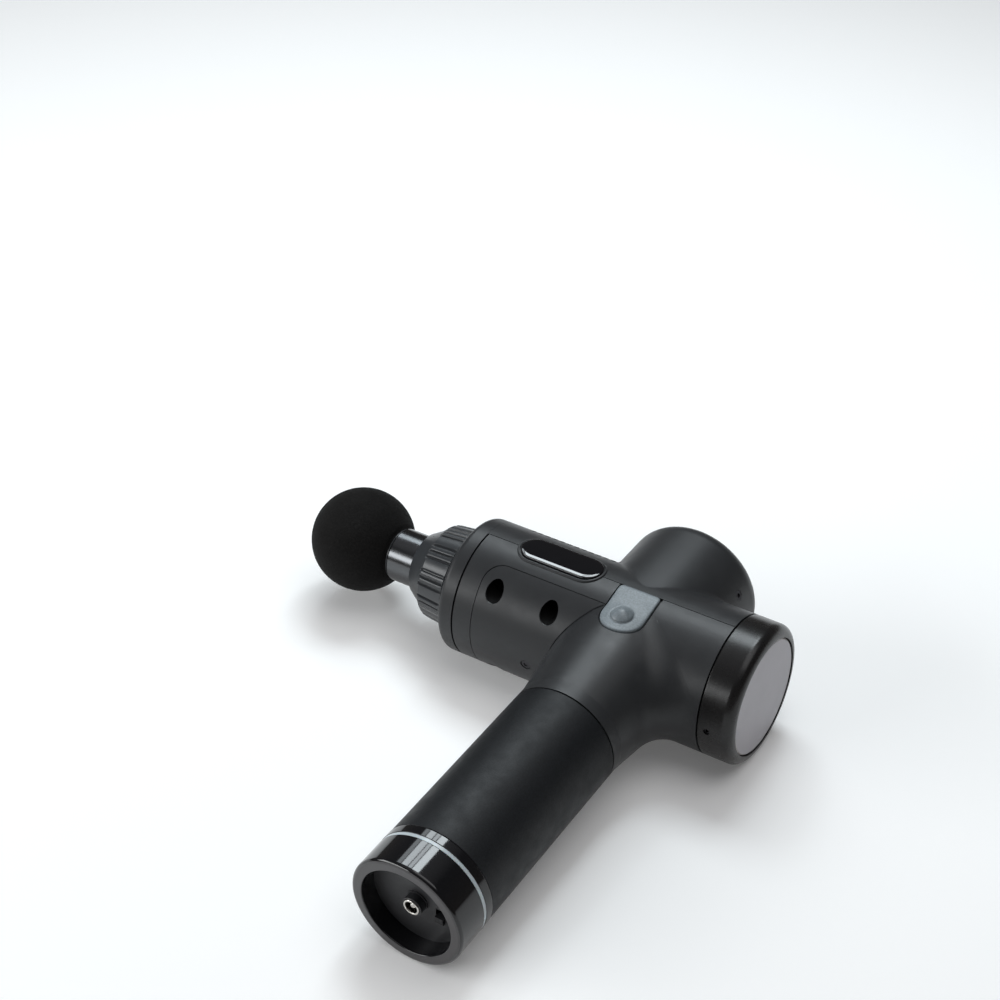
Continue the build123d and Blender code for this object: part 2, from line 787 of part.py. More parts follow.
# ------------------------------------------------------------------ battery

def battery_cells():
    lower_top = CELLS_TOP - CELL_LENGTH - CELL_SPACING
    cells = []
    for top in (CELLS_TOP, lower_top):
        cell = cyl_y(CELL_R, top - CELL_LENGTH, top, CELL_CIRCLE)
        cells += around_y(cell, 3, 90)
    return cells


def cell_holders():
    """Three plates that keep the cells apart and centred in the tube."""
    second_top = CELLS_TOP - CELL_LENGTH
    lower_end = second_top - CELL_SPACING - CELL_LENGTH
    return [
        cyl_y(HOLDER_R, CELLS_TOP, CELLS_TOP + 2.2),
        cyl_y(HOLDER_R, second_top - CELL_SPACING, second_top),
        cyl_y(HOLDER_R, lower_end - 1.8, lower_end),
    ]


def battery_board():
    lower_end = CELLS_TOP - 2 * CELL_LENGTH - CELL_SPACING
    return cyl_y(HOLDER_R - 0.2, lower_end - 3.2, lower_end - 1.8)


# ------------------------------------------------------------------ wires

def wire(points, radii, radius):
    """Round wire along straight runs joined by tangent arcs."""
    path = FilletPolyline(*points, radius=radii)
    section = Plane(origin=path @ 0, z_dir=path % 0) * Circle(radius)
    return sweep(section, path=path)


def battery_leads():
    """Two wires from the top of the battery to the controller."""
    return [
        wire([(8, CELLS_TOP + 2.2, z), (8, -18, z), (24, -11, z), (CONTROL_X, -11, z)], [4.0, 5.0], 0.9)
        for z in (-2.5, 2.5)
    ]


def motor_leads():
    """Three phase wires from the motor to the controller."""
    return [
        wire([(23.0, MOUNT_Y, z), (23.0, 13.5, z), (30.0, 8.5, z), (CONTROL_X, 8.5, z)], [2.2, 2.4], 0.8)
        for z in (-4, 0, 4)
    ]


# ------------------------------------------------------------------ massage head

def foam_ball():
    ball = Pos(BALL_X, 0, 0) * Sphere(BALL_R)
    ball &= block(-200, BALL_FLAT, -40, 40, -40, 40)
    return ball - cyl_x(8.0, BALL_FLAT - 20, BALL_FLAT + 1)


O_RING_XS = (-122.0, -106.0)
O_RING_SECTION = 1.0


def head_core():
    """Plug in the ball, a thin flange, and the stem that pushes into the shaft."""
    core = cyl_x(8.0, BALL_FLAT - 20, BALL_FLAT)
    core += cyl_x(12.2, BALL_FLAT, SHAFT_FRONT - 0.3)
    stem_end = SHAFT_FRONT - 0.3 + STEM_LENGTH
    stem = cyl_x(STEM_R, SHAFT_FRONT - 0.4, stem_end)
    rim = stem.edges().sort_by(Axis.X)[-1]
    core += chamfer(rim, 1.2)
    for x in O_RING_XS:
        core -= tube_x(9.0, STEM_R - 2 * O_RING_SECTION + 0.05, x - 1.1, x + 1.1)
    return core


def head_o_rings():
    major = STEM_R + 0.08 - O_RING_SECTION
    return [Pos(x, 0, 0) * Rot(0, 90, 0) * Torus(major, O_RING_SECTION) for x in O_RING_XS]


# ------------------------------------------------------------------ assembly

PIECES = {
    "upper_shell": upper_shell,
    "lower_shell": lower_shell,
    "barrel_panel": barrel_panel,
    "panel_screw": panel_screw,
    "shell_screws": shell_screws,
    "badge_bezel": badge_bezel,
    "badge_lens": badge_lens,
    "thumb_tab": thumb_tab,
    "thumb_button": thumb_button,
    "button_switch": button_switch,
    "nose_collar": nose_collar,
    "wiper_seal": wiper_seal,
    "guide_housing": guide_housing,
    "guide_bushes": guide_bushes,
    "guide_screws": guide_screws,
    "output_shaft": output_shaft,
    "wrist_pin": wrist_pin,
    "con_rod": con_rod,
    "rod_bush": rod_bush,
    "crank_bearing": crank_bearing,
    "crank_pin": crank_pin,
    "crank_disc": crank_disc,
    "counterweight": counterweight,
    "motor_axle": motor_axle,
    "motor_bearings": motor_bearings,
    "motor_mount": motor_mount,
    "mount_screws": mount_screws,
    "stator_core": stator_core,
    "stator_coils": stator_coils,
    "rotor_bell": rotor_bell,
    "rotor_magnets": rotor_magnets,
    "motor_shroud": motor_shroud,
    "shroud_screws": shroud_screws,
    "rear_ring": rear_ring,
    "ring_grub_screws": ring_grub_screws,
    "display_lens": display_lens,
    "display_frame": display_frame,
    "display_board": display_board,
    "controller_board": controller_board,
    "controller_parts": controller_parts,
    "handle_tube": handle_tube,
    "grip_sleeve": grip_sleeve,
    "base_collar": base_collar,
    "light_ring": light_ring,
    "base_cap": base_cap,
    "base_plate": base_plate,
    "charge_jack": charge_jack,
    "jack_ring": jack_ring,
    "jack_pin": jack_pin,
    "power_switch": power_switch,
    "power_slider": power_slider,
    "led_board": led_board,
    "battery_cells": battery_cells,
    "cell_holders": cell_holders,
    "battery_board": battery_board,
    "battery_leads": battery_leads,
    "motor_leads": motor_leads,
    "foam_ball": foam_ball,
    "head_core": head_core,
    "head_o_rings": head_o_rings,
}


def solids_of(shape):
    """The separate solids of a piece, or of a list of pieces."""
    if isinstance(shape, list):
        return [solid for item in shape for solid in solids_of(item)]
    return list(shape.solids())


# Lying down, the gun touches the table under the barrel and under the base's rim.
RIM_Y = BASE_END + BASE_EDGE
TILT = math.degrees(math.asin((BARREL_R - BASE_R) / -RIM_Y))

lying = {}
for name, make in PIECES.items():
    lying[name] = [Rot(TILT, 0, 0) * solid for solid in solids_of(make())]

box = Compound([solid for solids in lying.values() for solid in solids]).bounding_box()
ORIGIN = Vector((box.min.X + box.max.X) / 2, (box.min.Y + box.max.Y) / 2, box.min.Z)

os.makedirs("parts", exist_ok=True)
for name, solids in lying.items():
    placed = [Pos(-ORIGIN.X, -ORIGIN.Y, -ORIGIN.Z) * solid for solid in solids]
    export_step(Compound(placed), f"parts/{name}.step")

print(f"tilt {TILT:.4f} degrees; gun frame origin at {-ORIGIN.X:.4f} {-ORIGIN.Y:.4f} {-ORIGIN.Z:.4f}")
print(f"size {box.size.X:.2f} x {box.size.Y:.2f} x {box.size.Z:.2f}")
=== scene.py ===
"""Looks of the massage gun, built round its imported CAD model.

Pieces are drawn in the gun's own frame, in millimetres, as the CAD is: X along the barrel with the
ball at -X, Y along the handle with its end at -Y, Z across the gun with the thumb tab at +Z.
"""

import json
import math

import bmesh
import bpy
import numpy as np
from mathutils import Matrix, Quaternion, Vector, noise
from mathutils.bvhtree import BVHTree


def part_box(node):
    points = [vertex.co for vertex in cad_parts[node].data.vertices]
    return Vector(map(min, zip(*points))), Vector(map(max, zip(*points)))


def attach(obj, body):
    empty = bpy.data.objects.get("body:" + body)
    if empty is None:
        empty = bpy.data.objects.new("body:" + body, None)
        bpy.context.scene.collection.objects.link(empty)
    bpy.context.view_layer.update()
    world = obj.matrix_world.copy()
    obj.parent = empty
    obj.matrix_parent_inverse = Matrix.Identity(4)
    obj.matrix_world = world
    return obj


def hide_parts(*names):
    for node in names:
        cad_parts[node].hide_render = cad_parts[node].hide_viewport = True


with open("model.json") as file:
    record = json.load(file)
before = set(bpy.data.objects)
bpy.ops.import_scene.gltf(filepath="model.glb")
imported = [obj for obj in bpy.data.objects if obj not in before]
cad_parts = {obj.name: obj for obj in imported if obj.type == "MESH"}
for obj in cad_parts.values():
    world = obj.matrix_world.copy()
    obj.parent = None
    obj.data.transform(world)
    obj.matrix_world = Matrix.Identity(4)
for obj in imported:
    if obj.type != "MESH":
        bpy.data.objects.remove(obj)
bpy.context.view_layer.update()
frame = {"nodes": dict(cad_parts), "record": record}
nodes = frame["nodes"]

MM = 0.001

# ---------------------------------------------------------------- the gun's frame

BARREL_R = 32.4
BASE_R = 25.8
BASE_END = -181.5
BASE_ROUND = 1.8
REAR_END = 61.5
RIM_Y = BASE_END + BASE_ROUND
TILT = math.asin((BARREL_R - BASE_R) / -RIM_Y)

ring_low, ring_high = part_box("rear_ring")
GUN_ORIGIN = Vector((
    ring_high.x - REAR_END * MM,
    (ring_low.y + ring_high.y) / 2,
    (ring_low.z + ring_high.z) / 2,
))
GUN = Matrix.Translation(GUN_ORIGIN) @ Matrix.Rotation(TILT, 4, "X") @ Matrix.Scale(MM, 4)
TO_GUN = GUN.inverted()


def world_direction(x, y, z):
    """A direction of the gun's frame, in the scene."""
    return (GUN.to_3x3() @ Vector((x, y, z))).normalized()


# ---------------------------------------------------------------- materials

NOISE_LOW = 0.3
NOISE_HIGH = 0.7
GLOSS_PATCHES = 140
METAL_CONTRAST = 0.1
METAL_RELIEF = 0.6


def set_sockets(made, values):
    """Sets input sockets by name, with _ for a space."""
    for socket, value in values.items():
        made.inputs[socket.replace("_", " ")].default_value = value


def principled(material):
    return material.node_tree.nodes["Principled BSDF"]


def shader(name, color, roughness, **sockets):
    """Principled material; sockets are set by name."""
    material = bpy.data.materials.new(name)
    material.use_nodes = True
    principled(material).inputs["Base Color"].default_value = (*color, 1)
    principled(material).inputs["Roughness"].default_value = roughness
    set_sockets(principled(material), sockets)
    return material


def node(material, kind, **sockets):
    made = material.node_tree.nodes.new(kind)
    set_sockets(made, sockets)
    return made


def join(material, source, target):
    material.node_tree.links.new(source, target)


def texture(material, scale, detail=3.0, rough=0.55, stretch=(1, 1, 1)):
    """Noise in the piece's own space; scale is features per metre."""
    place = node(material, "ShaderNodeTexCoord")
    mapping = node(material, "ShaderNodeMapping", Scale=stretch)
    grain = node(material, "ShaderNodeTexNoise", Scale=scale, Detail=detail, Roughness=rough)
    join(material, place.outputs["Object"], mapping.inputs["Vector"])
    join(material, mapping.outputs["Vector"], grain.inputs["Vector"])
    return grain.outputs["Fac"]


def vary_roughness(material, factor, low, high):
    """Drives the roughness between two values."""
    ramp = node(
        material, "ShaderNodeMapRange",
        From_Min=NOISE_LOW, From_Max=NOISE_HIGH, To_Min=low, To_Max=high,
    )
    join(material, factor, ramp.inputs["Value"])
    join(material, ramp.outputs["Result"], principled(material).inputs["Roughness"])


def tint(material, factor, color, contrast):
    """Varies the base colour a little either side of one colour."""
    ramp = node(material, "ShaderNodeValToRGB")
    dark, light = ramp.color_ramp.elements
    dark.position = NOISE_LOW
    light.position = NOISE_HIGH
    dark.color = (*[channel * (1 - contrast) for channel in color], 1)
    light.color = (*[channel * (1 + contrast) for channel in color], 1)
    join(material, factor, ramp.inputs["Fac"])
    join(material, ramp.outputs["Color"], principled(material).inputs["Base Color"])


def relief(material, factor, depth, strength):
    """Bump of a depth in millimetres."""
    bump = node(material, "ShaderNodeBump", Strength=strength, Distance=depth * MM)
    join(material, factor, bump.inputs["Height"])
    join(material, bump.outputs["Normal"], principled(material).inputs["Normal"])


def moulded(name, color, roughness, grain, depth, spread=0.05, contrast=0.12, tone=35, **sockets):
    """Plastic or rubber with a fine moulded grain, uneven gloss and a change of tone.

    grain and tone are features per metre, and depth is the grain's, in millimetres.
    """
    material = shader(name, color, roughness, **sockets)
    tint(material, texture(material, tone), color, contrast)
    gloss = texture(material, GLOSS_PATCHES, 4.0)
    vary_roughness(material, gloss, roughness - spread, roughness + spread)
    relief(material, texture(material, grain, 2.0, 0.6), depth, 1.0)
    return material


def metal(name, color, roughness, scale, depth, spread=0.05, stretch=(1, 1, 1)):
    """Metal with fine scratches, drawn out along the axis with the smallest stretch."""
    material = shader(name, color, roughness, Metallic=1.0)
    lines = texture(material, scale, 4.0, 0.65, stretch)
    tint(material, lines, color, METAL_CONTRAST)
    vary_roughness(material, lines, roughness - spread, roughness + spread)
    relief(material, lines, depth, METAL_RELIEF)
    return material


BODY = moulded(
    "body_satin", (0.0235, 0.0245, 0.0262), 0.40,
    grain=2100, depth=0.010, spread=0.04, contrast=0.06, Specular_IOR_Level=0.32,
)
COLLAR = moulded(
    "collar_satin", (0.032, 0.0345, 0.0375), 0.30,
    grain=1800, depth=0.006, spread=0.03, contrast=0.06,
)
RING = moulded(
    "ring_satin", (0.0085, 0.008, 0.008), 0.27,
    grain=1500, depth=0.003, spread=0.02, contrast=0.10, Specular_IOR_Level=0.36,
)
GRIP = moulded(
    "grip_rubber", (0.0052, 0.0062, 0.0078), 0.53,
    grain=1500, depth=0.06, spread=0.06, contrast=0.35, tone=1200, Specular_IOR_Level=0.27,
)
TAB = moulded(
    "tab_rubber", (0.170, 0.196, 0.212), 0.42,
    grain=1700, depth=0.03, spread=0.05, contrast=0.20, tone=1300, Specular_IOR_Level=0.4,
)
BUTTON = moulded(
    "tab_button", (0.165, 0.190, 0.206), 0.38,
    grain=1700, depth=0.015, spread=0.04, contrast=0.18, tone=1300,
)
GLOSS = moulded(
    "gloss_black", (0.006, 0.006, 0.007), 0.085,
    grain=60, depth=0.002, spread=0.01, contrast=0.10,
)
CAP_FACE = moulded(
    "cap_face", (0.052, 0.050, 0.052), 0.34,
    grain=1800, depth=0.004, spread=0.02, contrast=0.05,
)
LENS = moulded(
    "lens_black", (0.004, 0.004, 0.005), 0.05,
    grain=60, depth=0.002, spread=0.015, contrast=0.10, Specular_IOR_Level=0.9,
)
LIGHT = moulded(
    "light_white", (0.50, 0.53, 0.54), 0.30,
    grain=900, depth=0.01, spread=0.05, contrast=0.03, Subsurface_Weight=0.15,
)
DISPLAY = moulded(
    "display_grey", (0.36, 0.345, 0.37), 0.42,
    grain=2400, depth=0.008, spread=0.04, contrast=0.04,
)
# Bright colour of the display's bevelled rim: a painted highlight, not the rim's own colour.
RIM_HIGHLIGHT = moulded(
    "disc_rim_painted_highlight", (0.62, 0.58, 0.56), 0.25,
    grain=900, depth=0.004, spread=0.04, contrast=0.05,
)
FOAM = moulded(
    "foam_black", (0.0040, 0.0036, 0.0034), 0.90,
    grain=1500, depth=0.20, spread=0.04, contrast=0.60, tone=1100, Specular_IOR_Level=0.2,
)
# Near-black matt colour of the sheets that paint shade into the panel's deep screw wells.
WELL_SHADE = moulded(
    "well_painted_shade", (0.003, 0.003, 0.003), 0.70,
    grain=1500, depth=0.02, spread=0.05, contrast=0.2, Specular_IOR_Level=0.1,
)
SEAL = moulded("seal_rubber", (0.012, 0.012, 0.012), 0.60, grain=1800, depth=0.02)
INNER = moulded("inner_plastic", (0.020, 0.020, 0.022), 0.50, grain=1500, depth=0.02)
PCB = moulded("solder_mask", (0.012, 0.07, 0.03), 0.35, grain=700, depth=0.02)
CHIP = moulded("chips", (0.02, 0.02, 0.02), 0.55, grain=1500, depth=0.02)
CELL = moulded("cell_wrap", (0.04, 0.14, 0.30), 0.30, grain=300, depth=0.01)
WIRE_RED = moulded("wire_red", (0.30, 0.015, 0.015), 0.45, grain=900, depth=0.01)
WIRE_BLUE = moulded("wire_blue", (0.02, 0.045, 0.26), 0.45, grain=900, depth=0.01)
SCREW = metal("black_oxide", (0.05, 0.05, 0.055), 0.40, 900, 0.004)
SHAFT = metal("dark_chrome", (0.105, 0.108, 0.112), 0.20, 900, 0.002, 0.04, stretch=(0.06, 1, 1))
STEEL = metal("ground_steel", (0.55, 0.55, 0.57), 0.28, 700, 0.004, stretch=(1, 0.1, 1))
ALUMINIUM = metal("aluminium", (0.70, 0.71, 0.73), 0.35, 700, 0.004)
BRONZE = metal("bronze", (0.50, 0.33, 0.15), 0.45, 1200, 0.01)
NICKEL = metal("nickel", (0.66, 0.64, 0.60), 0.18, 500, 0.002, 0.04)
COPPER = metal("copper", (0.60, 0.25, 0.11), 0.35, 900, 0.01)
IRON = metal("laminations", (0.22, 0.22, 0.24), 0.50, 2500, 0.03, stretch=(0.02, 1, 0.02))

BY_SLOT = {
    "body_plastic": BODY, "collar_plastic": COLLAR, "ring_plastic": RING, "shaft_metal": SHAFT,
    "steel": STEEL, "screw_black": SCREW, "aluminium": ALUMINIUM, "bronze": BRONZE, "foam": FOAM,
    "seal_rubber": SEAL, "grip_rubber": GRIP, "tab_rubber": TAB, "gloss_black": GLOSS,
    "lens_black": LENS, "light_white": LIGHT, "display_grey": DISPLAY, "inner_plastic": INNER,
    "pcb": PCB, "chips": CHIP, "copper": COPPER, "laminations": IRON, "magnet": NICKEL,
    "cell_wrap": CELL, "nickel": NICKEL, "wire_red": WIRE_RED, "wire_blue": WIRE_BLUE,
}


def paint_cad_nodes():
    """Gives each CAD node its procedural material, by its slot in the record."""
    for entry in frame["record"]["subparts"]:
        mesh = nodes[entry["node"]].data
        mesh.materials.clear()
        mesh.materials.append(BY_SLOT[entry["material_slot"]])


paint_cad_nodes()

# ---------------------------------------------------------------- mesh helpers

WELD = 0.002
SLIVER = 0.0005


def turn_steps(count):
    """Angles of a whole turn in equal steps."""
    return [2 * math.pi * i / count for i in range(count)]


def rounded(points, rounds, steps=6):
    """Outline with some corners rounded; rounds maps a corner's number to its radius."""
    outline = []
    for number, point in enumerate(points):
        corner = Vector(point)
        radius = rounds.get(number, 0)
        if not radius:
            outline.append(corner)
            continue
        before = (Vector(points[number - 1]) - corner).normalized()
        after = (Vector(points[(number + 1) % len(points)]) - corner).normalized()
        half = before.angle(after) / 2
        centre = corner + (before + after).normalized() * radius / math.sin(half)
        start = corner + before * radius / math.tan(half) - centre
        end = corner + after * radius / math.tan(half) - centre
        for step in range(steps + 1):
            outline.append(centre + start.lerp(end, step / steps).normalized() * radius)
    return outline


def cleaned(mesh):
    """Welds doubled points, removes slivers and turns all faces outwards."""
    build = bmesh.new()
    build.from_mesh(mesh)
    bmesh.ops.remove_doubles(build, verts=build.verts, dist=WELD)
    bmesh.ops.dissolve_degenerate(build, edges=build.edges, dist=SLIVER)
    bmesh.ops.recalc_face_normals(build, faces=build.faces)
    build.to_mesh(mesh)
    build.free()


def piece(name, points, faces, material, body, sharp=32):
    """Smooth-shaded object from gun-frame millimetres, riding on a CAD body."""
    mesh = bpy.data.meshes.new(name)
    mesh.from_pydata(points, [], faces)
    cleaned(mesh)
    mesh.transform(GUN)
    mesh.materials.append(material)
    for polygon in mesh.polygons:
        polygon.use_smooth = True
    mesh.set_sharp_from_angle(angle=math.radians(sharp))
    made = bpy.data.objects.new(name, mesh)
    bpy.context.scene.collection.objects.link(made)
    weighted = made.modifiers.new("even_normals", "WEIGHTED_NORMAL")
    weighted.keep_sharp = True
    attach(made, body)
    return made


def loop_piece(name, loops, closed, material, body="body", sharp=32):
    """Piece of quads between equal loops of points; closed joins the last loop to the first."""
    count = len(loops[0])
    pairs = len(loops) if closed else len(loops) - 1
    faces = []
    for row in range(pairs):
        here = row * count
        there = (row + 1) % len(loops) * count
        for i in range(count):
            j = (i + 1) % count
            faces.append((here + i, here + j, there + j, there + i))
    points = [point for loop in loops for point in loop]
    return piece(name, points, faces, material, body, sharp)


def lathe(name, outline, axis, material, turns, shape=None):
    """Closed outline of (along, radius) points turned about X or Y, riding on the body."""
    loops = []
    for along, radius in outline:
        loop = []
        for angle in turn_steps(turns):
            r = shape(along, radius, angle) if shape else radius
            if axis == "X":
                place = (along, r * math.cos(angle), r * math.sin(angle))
            else:
                place = (r * math.sin(angle), along, r * math.cos(angle))
            loop.append(Vector(place))
        loops.append(loop)
    return loop_piece(name, loops, True, material)


def paint_faces(made, material, chosen):
    """Gives the faces that a test chooses a second material."""
    made.data.materials.append(material)
    for polygon in made.data.polygons:
        if chosen(polygon):
            polygon.material_index = 1


def smooth_step(low, high, value):
    t = min(max((value - low) / (high - low), 0.0), 1.0)
    return t * t * (3 - 2 * t)


# ---------------------------------------------------------------- massage head

BALL_X = -152.5
BALL_R = 25.0
BALL_CENTRE = Vector((BALL_X, 0, 0))
BALL_FLAT = -131.0
PLUG_HOLE_R = 8.05
PLUG_DEPTH = 20.0
BALL_STEPS = 170
BALL_TURNS = 320
FLAT_STEPS = 9
SKIN_FADE = 1.5
EDGE_DRAW = 0.5
EDGE_REACH = 1.2

DENTS_PER_MM = 0.11
DENT_DEPTH = 0.10
LUMPS_PER_MM = 0.55
LUMP_HEIGHT = 0.05
LUMP_SHIFT = Vector((7, 3, 5))
PORES_PER_MM = 0.95
PORE_HEIGHT = 0.13
PORE_RANGE = (0.05, 0.42)
SKIN_SINK = 0.12


def foam_skin(point):
    """Height of the foam's skin over the ball, in millimetres: slow dents and closed pores."""
    dents = noise.noise(point * DENTS_PER_MM) * DENT_DEPTH
    lumps = noise.noise(point * LUMPS_PER_MM + LUMP_SHIFT) * LUMP_HEIGHT
    nearest = noise.voronoi(point * PORES_PER_MM)[0][0]
    pores = smooth_step(*PORE_RANGE, nearest) * PORE_HEIGHT
    return dents + lumps + pores - SKIN_SINK


def foamed(point, along):
    """A point of the ball moved to the foam's skin, drawn in where the flat's edge is pressed."""
    fade = smooth_step(BALL_FLAT, BALL_FLAT - SKIN_FADE, along)
    drawn_in = EDGE_DRAW * smooth_step(EDGE_REACH, 0, BALL_FLAT - along)
    outward = (point - BALL_CENTRE).normalized()
    return point + outward * (foam_skin(point) * (1 - fade) - drawn_in)


def foam_ball():
    """Ball of fine foam, cut flat where the stem's flange presses on it."""
    flat_angle = math.acos((BALL_FLAT - BALL_X) / BALL_R)
    outline = []
    for i in range(BALL_STEPS + 1):
        angle = math.pi + (flat_angle - math.pi) * i / BALL_STEPS
        outline.append((BALL_X + BALL_R * math.cos(angle), BALL_R * math.sin(angle)))
    flat_r = BALL_R * math.sin(flat_angle)
    for i in range(1, FLAT_STEPS + 1):
        outline.append((BALL_FLAT, flat_r + (PLUG_HOLE_R - flat_r) * i / FLAT_STEPS))
    outline.append((BALL_FLAT - PLUG_DEPTH, PLUG_HOLE_R))
    outline.append((BALL_FLAT - PLUG_DEPTH, 0.0))
    loops = []
    for number, (along, radius) in enumerate(outline):
        loop = [
            Vector((along, radius * math.cos(angle), radius * math.sin(angle)))
            for angle in turn_steps(BALL_TURNS)
        ]
        if number <= BALL_STEPS:
            loop = [foamed(point, along) for point in loop]
        loops.append(loop)
    ball = loop_piece("ball_foam", loops, True, FOAM, "head", 60)
    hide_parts("foam_ball")


foam_ball()

# ---------------------------------------------------------------- nose collar

RIB_GROUPS = 11
RIB_PITCH = 360 / RIB_GROUPS
RIB_MIDDLE = 118.95
RIB_STEPS = 72
MIDDLE_GROOVE = 0.75
MIDDLE_WALL = (0.4, 1.9)
SIDE_GROOVE = 0.95
SIDE_WALL = (6.2, 7.8)
FAR_WALL = (8.8, 10.6)
SIDE_MIDDLE = 7.3
RIB_CROWN = 0.22
RIB_CENTRE = 4.1
RIB_HALF = 2.8
LAND_CROWN = 0.16
LAND_CENTRE = 16.4
LAND_HALF = 7
RIBBED_R = 21.9
RIBBED_FRONT = -106.1
RIBBED_BACK = -91.7
FRONT_FADE = (-106.2, -105.3)
BACK_FADE = (-93.0, -92.0)
FLANK_FRONT = -104
FLANK_BACK = -93
FLANK_PIECES = 14
COLLAR_CORNERS = {1: 0.8, 4: 0.5}
COLLAR_OUTLINE = [
    (-115.6, 13.3), (-115.6, 15.2), (-106.2, 21.0), (-106.0, 22.2), (-105.0, 22.9),
    (-91.9, 24.35), (-91.5, 24.0), (-91.5, 23.4), (-84.0, 23.4), (-84.0, 16.9),
    (-109.4, 16.9), (-109.4, 14.9), (-114.6, 14.9), (-114.6, 13.3),
]


def rib_depth(angle):
    """Depth of the grooves round the collar: between each two broad lands, two narrow ribs.

    The walls and centres are degrees from the middle of a pair of ribs, which are crowned, as the
    lands are.
    """
    turn = (math.degrees(angle) - RIB_MIDDLE + RIB_PITCH / 2) % RIB_PITCH - RIB_PITCH / 2
    away = abs(turn)
    middle = 1 - smooth_step(*MIDDLE_WALL, away)
    side = smooth_step(*SIDE_WALL, away) * (1 - smooth_step(*FAR_WALL, away))
    if away < SIDE_MIDDLE:
        crown = RIB_CROWN * ((away - RIB_CENTRE) / RIB_HALF) ** 2
    else:
        crown = LAND_CROWN * ((LAND_CENTRE - away) / LAND_HALF) ** 2
    return MIDDLE_GROOVE * middle + SIDE_GROOVE * side + crown


def collar_shape(along, radius, angle):
    """Radius of the collar with its ribs, which fade out at both ends."""
    if radius < RIBBED_R or along < RIBBED_FRONT or along > RIBBED_BACK:
        return radius
    fade = smooth_step(*FRONT_FADE, along) * (1 - smooth_step(*BACK_FADE, along))
    return radius - rib_depth(angle) * fade


def nose_collar():
    """Ribbed front collar, with its long flank divided so that the ribs can fade along it."""
    outline = rounded(COLLAR_OUTLINE, COLLAR_CORNERS)
    dense = []
    for here, there in zip(outline, outline[1:] + outline[:1]):
        on_flank = here[0] < FLANK_FRONT and there[0] > FLANK_BACK
        pieces = FLANK_PIECES if on_flank else 1
        dense += [Vector(here).lerp(Vector(there), i / pieces) for i in range(pieces)]
    turns = RIB_GROUPS * RIB_STEPS
    collar = lathe("collar", dense, "X", COLLAR, turns, collar_shape)
    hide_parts("nose_collar")


nose_collar()

# ---------------------------------------------------------------- badge

BADGE_X = -41.5
BADGE_LENGTH = 44.0
BADGE_WIDTH = 18.0
BADGE_TURN = Matrix.Rotation(math.radians(-2.3), 4, "X")
BADGE_SUNK = -0.2
BADGE_END_STEPS = 24
BADGE_SIDE_STEPS = 20
LIP = 1.3
LIP_SECTION = [
    (0.0, BADGE_SUNK), (0.0, 0.15), (0.12, 0.45), (0.38, 0.66), (0.75, 0.72), (1.05, 0.62),
    (LIP - 0.05, 0.4), (LIP, 0.1), (LIP, BADGE_SUNK),
]
LENS_CROWN = 260.0
LENS_TOP = 33.5
LENS_GAP = 0.3
LENS_ROLL = [(0.0, 1.0), (0.02, 0.70), (0.06, 0.48), (0.13, 0.31), (0.21, 0.215), (0.30, 0.165)]
SHOULDER = 1.6
SHOULDER_CURVE = 16.0
SHOULDER_STEPS = 12


def stadium_loop(inset, height, level=None):
    """Loop at an inset from the badge's outline, at a height over the barrel.

    A level flattens the loop towards one height over the gun's middle plane.
    """
    end_r = max(BADGE_WIDTH / 2 - inset, 0.0)
    straight = (BADGE_LENGTH - BADGE_WIDTH) / 2
    loop = []
    for side in (1, -1):
        for i in range(BADGE_END_STEPS + 1):
            angle = math.pi * i / BADGE_END_STEPS - math.pi / 2
            loop.append((side * (straight + end_r * math.cos(angle)), side * end_r * math.sin(angle)))
        for i in range(1, BADGE_SIDE_STEPS):
            loop.append((side * straight * (1 - 2 * i / BADGE_SIDE_STEPS), side * end_r))
    placed = []
    for x, y in loop:
        over_barrel = math.sqrt(BARREL_R ** 2 - y ** 2) + height
        z = over_barrel if level is None else level - y ** 2 / LENS_CROWN
        placed.append(BADGE_TURN @ Vector((BADGE_X + x, y, z)))
    return placed


def badge_lip():
    """Raised lip round the badge."""
    loops = [stadium_loop(inset, height) for inset, height in LIP_SECTION]
    bezel = loop_piece("badge_lip", loops, True, BODY)
    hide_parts("badge_bezel")


def badge_lens():
    """Gloss lens inside the lip, past a dark gap: nearly flat, and rolled over at its edge."""
    outer = LIP + LENS_GAP
    loops = [stadium_loop(outer, BADGE_SUNK)]
    for inset, drop in LENS_ROLL:
        loops.append(stadium_loop(outer + inset, 0.0, LENS_TOP - drop))
    for i in range(1, SHOULDER_STEPS + 1):
        reach = SHOULDER * (1 - i / SHOULDER_STEPS)
        inset = outer + LENS_ROLL[-1][0] + SHOULDER - reach
        loops.append(stadium_loop(inset, 0.0, LENS_TOP - reach ** 2 / SHOULDER_CURVE))
    loops.append(stadium_loop(BADGE_WIDTH / 2, 0.0, LENS_TOP))
    lens = loop_piece("badge_dome", loops, False, LENS)
    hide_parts("badge_lens")


badge_lip()
badge_lens()

# ---------------------------------------------------------------- thumb tab and button

TAB_HALF = 10.2
TAB_LENGTH = 26.6
TAB_CORNER = 2.2
TAB_CORNER_LEAST = 0.3
TAB_ROLL = 2.0
TAB_RISE = 0.42
TAB_SUNK = -1.6
TAB_SECTION = [
    (0.25, TAB_SUNK), (0.22, -0.7), (0.22, -0.25), (0.3, 0.02), (0.48, 0.22), (0.75, 0.34),
    (1.1, 0.4), (1.6, TAB_RISE), (TAB_ROLL, TAB_RISE),
]
TAB_RINGS = 14
BEND_STEPS = 60
SIDE_STEPS = 20
CORNER_STEPS = 8
BUTTON_Y = -17.5
BUTTON_EDGE = 4.9
BUTTON_RISE = 2.4
BUTTON_SKIRT = 0.4
BUTTON_POWER = 1.1
BUTTON_GAP = 0.07
BUTTON_HOLE_BOTTOM = -1.2
BUTTON_TURNS = 96
BUTTON_RINGS = 14
MOAT_DEPTH = 0.3
MOAT_WIDTH = 0.45

